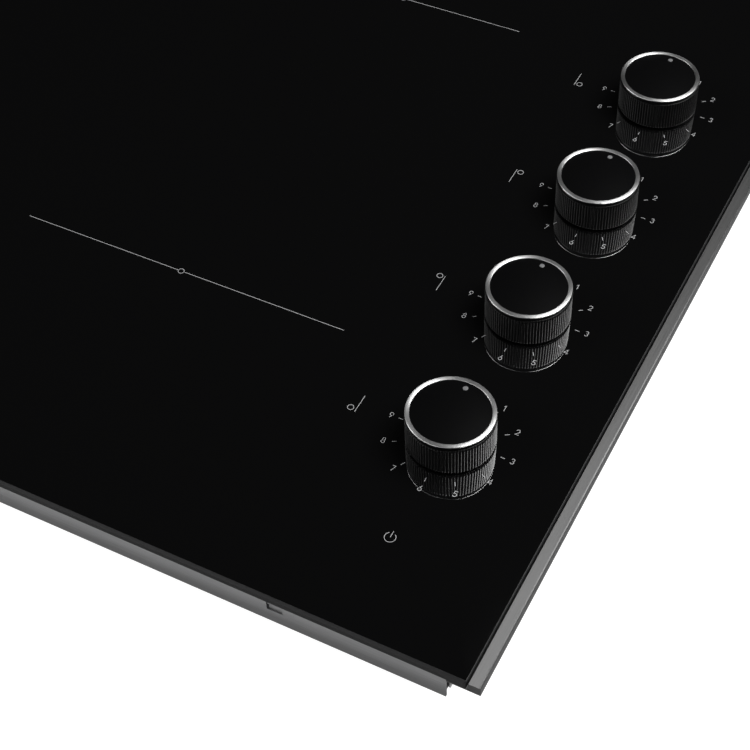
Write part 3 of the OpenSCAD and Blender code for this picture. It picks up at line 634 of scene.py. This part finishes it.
# %% The knurl's rib
rib_count, rib_depth, samples_per_rib = 90, 0.45 * mm, 8


def ribbed_radius(angle):
    """Round-backed ribs with a narrow valley between them."""
    across = abs(math.cos(rib_count * angle / 2))
    return knob_r - rib_depth * (1 - across) ** 1.4


rib_pitch = math.tau * knob_r / rib_count
print("rib pitch", round(rib_pitch / mm, 2), "mm, depth", rib_depth / mm, "mm")

# %% The grip's section
knob_foot = body_lo.z
neck_top = body_hi.z
knurl_top = neck_top - 0.7 * mm
pocket_floor = cap_lo.z
shaft_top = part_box("encoder_shaft_1")[1].z
chamfer = 0.55 * mm
wall, hub_r, bore_r = 3.0 * mm, 5.5 * mm, 3.0 * mm
neck_r = knob_r - 0.9 * mm
underside = pocket_floor - 2.4 * mm
grip_section = [
    (0, shaft_top, False), (bore_r, shaft_top, False), (bore_r, knob_foot + 0.5 * mm, False),
    (hub_r, knob_foot + 0.5 * mm, False), (hub_r, underside, False),
    (knob_r - wall, underside, False), (knob_r - wall, knob_foot, False),
    (knob_r - 0.75 * mm, knob_foot, True), (knob_r, knob_foot + chamfer, True),
    (knob_r, knob_foot + 2 * chamfer, True), (knob_r, knurl_top - 2 * chamfer, True),
    (knob_r, knurl_top - chamfer, True), (knob_r - 0.3 * mm, knurl_top - 0.18 * mm, True),
    (knob_r - 0.62 * mm, knurl_top, True), (neck_r, knurl_top, False), (neck_r, neck_top, False),
    (cap_r + 0.05 * mm, neck_top, False), (cap_r + 0.05 * mm, pocket_floor, False),
    (0, pocket_floor, False)]
grip_mesh, grip_open = turned("knob_grip", grip_section, rib_count * samples_per_rib, ribbed_radius)
smooth(grip_mesh, 50)
print("grip:", len(grip_mesh.polygons), "faces,", grip_open, "open edges")

# %% [markdown]
# ## Ring and cap
# The ring is a turned steel band with a flat land and an eased outer edge; it is the brightest
# thing on the knob, so its small edges matter: each one draws its own hair of light. The cap is a
# disc set a little lower, with a grey dot of paint in a shallow dimple to show where the knob
# points.

# %% Sections of ring and cap
ring_steps, cap_steps, dot_steps = 160, 128, 40
ring_inner = cap_r + 0.05 * mm
ring_section = [(base + out * mm, ring_hi.z - down * mm, False) for base, out, down in (
    (ring_inner, 0, 1.9), (ring_r, -0.75, 1.9), (ring_r, -0.75, 0.9), (ring_r, -0.2, 0.62),
    (ring_r, -0.03, 0.52), (ring_r, 0, 0.42), (ring_r, 0, 0.3), (ring_r, -0.06, 0.14),
    (ring_r, -0.2, 0.04), (ring_r, -0.36, 0), (ring_inner, 0.3, 0), (ring_inner, 0.12, 0.05),
    (ring_inner, 0.03, 0.14), (ring_inner, 0, 0.3))]
ring_mesh, ring_open = turned("knob_ring", ring_section, ring_steps)
smooth(ring_mesh, 40)
# Painted shade: the steel ring's lower faces take the grip's black, standing in for the shadow under its
# eased edge.
ring_painted_shade = [face for face in ring_mesh.polygons if face.center.z < ring_hi.z - 0.5 * mm]
for face in ring_painted_shade:
    face.material_index = 1
dot_r, dot_deep = 1.3 * mm, 0.25 * mm
dot_from_axis = 15.1 / 20.5 * knob_r
cap_section = [(0, cap_lo.z, False), (cap_r - 0.2 * mm, cap_lo.z, False),
               (cap_r, cap_lo.z + 0.2 * mm, False), (cap_r, cap_hi.z - 0.25 * mm, False),
               (cap_r - 0.07 * mm, cap_hi.z - 0.07 * mm, False), (cap_r - 0.25 * mm, cap_hi.z, False)]
print("ring land", round((ring_r - 0.5 * mm - ring_inner) / mm, 2), "mm wide;", ring_open, "open edges")


# %% Build the cap round its dimple
def cap_with_dimple():
    build = bmesh.new()
    rows = [[build.verts.new((*spot, z)) for spot in circle(Vector((0, 0)), r, cap_steps)]
            for r, z, _ in cap_section if r]
    for low, high in zip(rows, rows[1:]):
        for i in range(cap_steps):
            j = (i + 1) % cap_steps
            build.faces.new((low[i], low[j], high[j], high[i]))
    build.faces.new(rows[0][::-1])
    dimple = Vector((0, dot_from_axis))
    dimple_rims = ((0, cap_hi.z), (0.06 * mm, cap_hi.z - 0.06 * mm), (0.06 * mm, cap_hi.z - dot_deep))
    rims = [[build.verts.new((*spot, z)) for spot in circle(dimple, dot_r - ease, dot_steps)]
            for ease, z in dimple_rims]
    for high, low in zip(rims, rims[1:]):
        for i in range(dot_steps):
            j = (i + 1) % dot_steps
            build.faces.new((low[i], low[j], high[j], high[i]))
    build.faces.new(rims[-1])
    edges = [build.edges.get((a, b)) or build.edges.new((a, b))
             for rim in (rows[-1], rims[0]) for a, b in zip(rim, rim[1:] + rim[:1])]
    bmesh.ops.triangle_fill(build, edges=edges, use_beauty=True)
    return closed_mesh("knob_cap", build)


cap_mesh, cap_open = cap_with_dimple()
smooth(cap_mesh, 30)
dot_section = [(0, -dot_deep, False), (dot_r - 0.08 * mm, -dot_deep, False),
               (dot_r - 0.08 * mm, -0.1 * mm, False), (dot_r - 0.2 * mm, -0.06 * mm, False),
               (0, -0.03 * mm, False)]
dot_mesh, dot_open = turned("knob_dot", dot_section, dot_steps)
smooth(dot_mesh, 40)
print("cap:", cap_open, "open edges; dot:", dot_open, "open edges")

# %% Set the knobs on their shafts
# The ring's second material, the grip's black, is painted shade on its foot.
for mesh, material in ((grip_mesh, knob_black), (ring_mesh, ring_steel), (ring_mesh, knob_black),
                       (cap_mesh, cap_black), (dot_mesh, dot_grey)):
    mesh.materials.append(material)
for number, axis in zip(knob_numbers, knob_axes):
    body = f"knob_{number}"
    for label, mesh, offset, node, slot in (
            ("grip", grip_mesh, (0, 0, 0), f"knob_body_{number}", "knob_plastic"),
            ("ring", ring_mesh, (0, 0, 0), f"knob_ring_{number}", "ring_steel"),
            ("cap", cap_mesh, (0, 0, 0), f"knob_cap_{number}", "cap_plastic"),
            ("dot", dot_mesh, (0, dot_from_axis, cap_hi.z), None, "cap_plastic")):
        piece = link(f"knob_{label}_{number}_turned", mesh)
        piece.location = Vector((*axis, 0)) + Vector(offset)
        bpy.context.view_layer.update()
        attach(piece, body)
        if node:
            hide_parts(node)
print("knobs set at", [tuple(round(v / mm, 1) for v in axis) for axis in knob_axes])

# %% [markdown]
# ## Printed marks
# The marks are screen printed on the glass and fired in: thin even strokes with round ends. Text
# objects would bring a font with its own widths, so we draw each numeral as a few lines and arcs on
# a grid one unit high, and give every stroke the same small width. Each stroke is a closed sliver
# that stands two hundredths of a millimetre proud of the glass, as fired ink does.


# %% Strokes
def arc(cx, cy, rx, ry, start, end, steps=18):
    """Points of an elliptic arc, in degrees anticlockwise from the right."""
    return [(cx + rx * math.cos(math.radians(start + (end - start) * i / steps)),
             cy + ry * math.sin(math.radians(start + (end - start) * i / steps))) for i in range(steps + 1)]


ink_high, ink_low = 0.02 * mm, -0.03 * mm


def add_stroke(build, points, width, closed=False):
    """One even stroke along points in metres; open strokes get round ends, closed ones join up."""
    path = [Vector(p) for p in points]
    half = width / 2
    left, right = [], []
    last = len(path) - 1
    for i, here in enumerate(path):
        before = path[i - 1] if i or closed else None
        after = path[(i + 1) % len(path)] if i < last or closed else None
        ways = [(b - a).normalized() for a, b in ((before, here), (here, after))
                if a is not None and b is not None]
        way = sum(ways, Vector((0, 0))).normalized()
        side = Vector((-way.y, way.x))
        stretch = 1 / max(0.5, side.dot(Vector((-ways[0].y, ways[0].x))))
        left.append(here + side * half * stretch)
        right.append(here - side * half * stretch)
    if closed:
        loops = [left, right]
    else:
        def round_end(centre, out):
            a = math.atan2(out.y, out.x)
            return [centre + half * Vector((math.cos(a + t), math.sin(a + t)))
                    for t in (math.radians(d) for d in (-60, -30, 0, 30, 60))]
        first_way = (path[1] - path[0]).normalized()
        last_way = (path[-1] - path[-2]).normalized()
        loops = [right + round_end(path[-1], last_way) + left[::-1] + round_end(path[0], -first_way)]
    levels = [[[build.verts.new((*spot, glass_top_z + z)) for spot in loop] for loop in loops]
              for z in (ink_low, ink_high)]
    for loop_low, loop_high in zip(*levels):
        for i in range(len(loop_low)):
            j = (i + 1) % len(loop_low)
            build.faces.new((loop_low[i], loop_low[j], loop_high[j], loop_high[i]))
    for level in levels:
        if closed:
            inner, outer = level
            for i in range(len(inner)):
                j = (i + 1) % len(inner)
                build.faces.new((inner[i], inner[j], outer[j], outer[i]))
        else:
            bmesh.ops.triangle_fill(build, use_beauty=True, edges=[
                build.edges.get((a, b)) for a, b in zip(level[0], level[0][1:] + level[0][:1])])


def printed(name, strokes, width):
    """strokes: (points in metres, closed) pairs, printed as one piece."""
    build = bmesh.new()
    for points, closed in strokes:
        add_stroke(build, points, width, closed)
    mesh, left_open = closed_mesh(name, build)
    piece = link(name, mesh, print_ink)
    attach(piece, root_body)
    return left_open


# %% Numerals on a grid one unit high
numerals = {
    1: [[(0.12, 0.80), (0.36, 1.0), (0.36, 0)]],
    2: [arc(0.31, 0.71, 0.27, 0.29, 165, -38) + [(0.03, 0.0), (0.6, 0.0)]],
    3: [arc(0.29, 0.74, 0.25, 0.26, 150, -90), arc(0.29, 0.26, 0.28, 0.26, 90, -155)],
    4: [[(0.5, 0), (0.5, 1.0), (0.02, 0.27), (0.66, 0.27)]],
    5: [[(0.54, 1.0), (0.12, 1.0), (0.07, 0.53)] + arc(0.28, 0.31, 0.29, 0.31, 118, -150)],
    6: [[(0.46, 1.0), (0.08, 0.44)] + arc(0.31, 0.3, 0.28, 0.3, 152, -208, 26)],
    7: [[(0.04, 1.0), (0.58, 1.0), (0.2, 0)]],
    8: [arc(0.3, 0.75, 0.22, 0.25, 90, -270, 26), arc(0.3, 0.25, 0.28, 0.26, 90, -270, 26)],
    9: [[(0.16, 0), (0.54, 0.56)] + arc(0.31, 0.7, 0.28, 0.3, -28, 332, 26)],
}
numeral_high = 2.9 * mm
numeral_wide = 0.62
numeral_nudge = {2: (-0.4, 0.8), 4: (-0.4, 0.8), 5: (0, -0.6), 6: (0, -0.4), 7: (-0.4, 0), 8: (-0.4, 0.8)}
stroke_wide = 0.25 * mm
print("numerals:", len(numerals))

# %% [markdown]
# ## The dial round each knob
# Nine settings share 270 degrees of turn, so they stand a little over thirty degrees apart, and the
# knob's dot points straight back when it is off. Each setting has a short tick towards the axis and
# its numeral upright, to be read from the front.

# %% Print the dials
tick_r, tick_long, numeral_r = 25.1 * mm, 2.0 * mm, 29.9 * mm
first_setting, setting_step = 28.6, 30.34
for number, axis in zip(knob_numbers, knob_axes):
    strokes = []
    for digit, shape in numerals.items():
        a = math.radians(90 - first_setting - setting_step * (digit - 1))
        out = Vector((math.cos(a), math.sin(a)))
        tick_ends = [axis + out * (tick_r + side * tick_long / 2) for side in (-1, 1)]
        strokes.append((tick_ends, False))
        nudge = mm * Vector(numeral_nudge.get(digit, (0, 0)))
        corner = axis + out * numeral_r + nudge - numeral_high * Vector((numeral_wide / 2, 0.5))
        strokes += [([corner + numeral_high * Vector(p) for p in line], False) for line in shape]
    left_open = printed(f"dial_print_{number}", strokes, stroke_wide)
    print("dial", number, "strokes", len(strokes), "open edges", left_open)

# %% [markdown]
# ## Zone marks, zone icons and the power mark
# A small icon left of each knob tells which zone it drives: a line for the cooktop's edge and a
# circle where the zone lies. The zones themselves are marked by one long thin line with a circle at
# its middle, across the coil under it. In front of the first knob lies the power mark.

# %% Print the icons
icon_line_x, icon_long = -45.8 * mm, 10.1 * mm
icon_circle_r = 1.45 * mm
# for each knob, in mm from its axis: the line's middle (y), then the circle's middle (x, y)
icon_rows = {1: (0.3, -48.6, -3.3), 2: (0.5, -48.4, 4.8), 3: (1.0, -43.3, 4.84), 4: (1.7, -43.3, -1.8)}
for number, axis in zip(knob_numbers, knob_axes):
    line_y, circle_x, circle_y = (value * mm for value in icon_rows[number])
    line_middle = axis + Vector((icon_line_x, line_y))
    half_line = Vector((0, icon_long / 2))
    strokes = [([line_middle - half_line, line_middle + half_line], False),
               (circle(axis + Vector((circle_x, circle_y)), icon_circle_r, 36), True)]
    printed(f"zone_icon_{number}", strokes, 0.22 * mm)
print("icons:", len(icon_rows))

# %% Print the zone lines
coil_boxes = [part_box(f"coil_winding_{n}") for n in knob_numbers]
zone_gap_r = 1.5 * mm
line_overhang = 4 * mm
front_right = knob_axes[0] + Vector((-163.6 * mm, 36.6 * mm))
zone_half = 90.1 * mm
zones = []
for n, (low, high) in zip(knob_numbers, coil_boxes):
    middle = (low + high).xy / 2
    half = (high.x - low.x) / 2 + line_overhang
    zones.append((n, middle, half))
front_right_number = max(zones, key=lambda z: z[1].x - z[1].y)[0]
for n, middle, half in zones:
    if n == front_right_number:
        middle, half = front_right, zone_half
    reach, gap = Vector((half, 0)), Vector((zone_gap_r, 0))
    strokes = [([middle - reach, middle - gap], False), ([middle + gap, middle + reach], False),
               (circle(middle, zone_gap_r, 40), True)]
    printed(f"zone_line_{n}", strokes, 0.22 * mm)
    print("zone", n, "middle", [round(v / mm, 1) for v in middle], "line", round(2 * half / mm, 1), "mm")

# %% Print the power mark
power_middle = knob_axes[0] + Vector((0, -59 * mm))
open_ring = [power_middle + 2.5 * mm * Vector(p) for p in arc(0, 0, 1, 1, 125, 415, 44)]
power_bar = [power_middle + Vector((0, 0.2 * mm)), power_middle + Vector((0, 3.4 * mm))]
printed("power_print", [(open_ring, False), (power_bar, False)], 0.22 * mm)
print("power mark at", [round(v / mm, 1) for v in power_middle])

# %% Soften the metal edges
for name, width in (("side_trim_left", 0.12), ("side_trim_right", 0.12), ("front_rail", 0.14),
                    ("rear_rail", 0.14), ("side_rail_left", 0.14), ("side_rail_right", 0.14)):
    solid = soften(frame["nodes"][name], width * mm)
    print(name, "edges eased by", width, "mm")

# %% Compare the boxes and finish
bpy.context.view_layer.update()
looks_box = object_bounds()
for label, box in (("frame", cad_box), ("looks", looks_box)):
    print(label, [[round(v, 4) for v in corner] for corner in box])
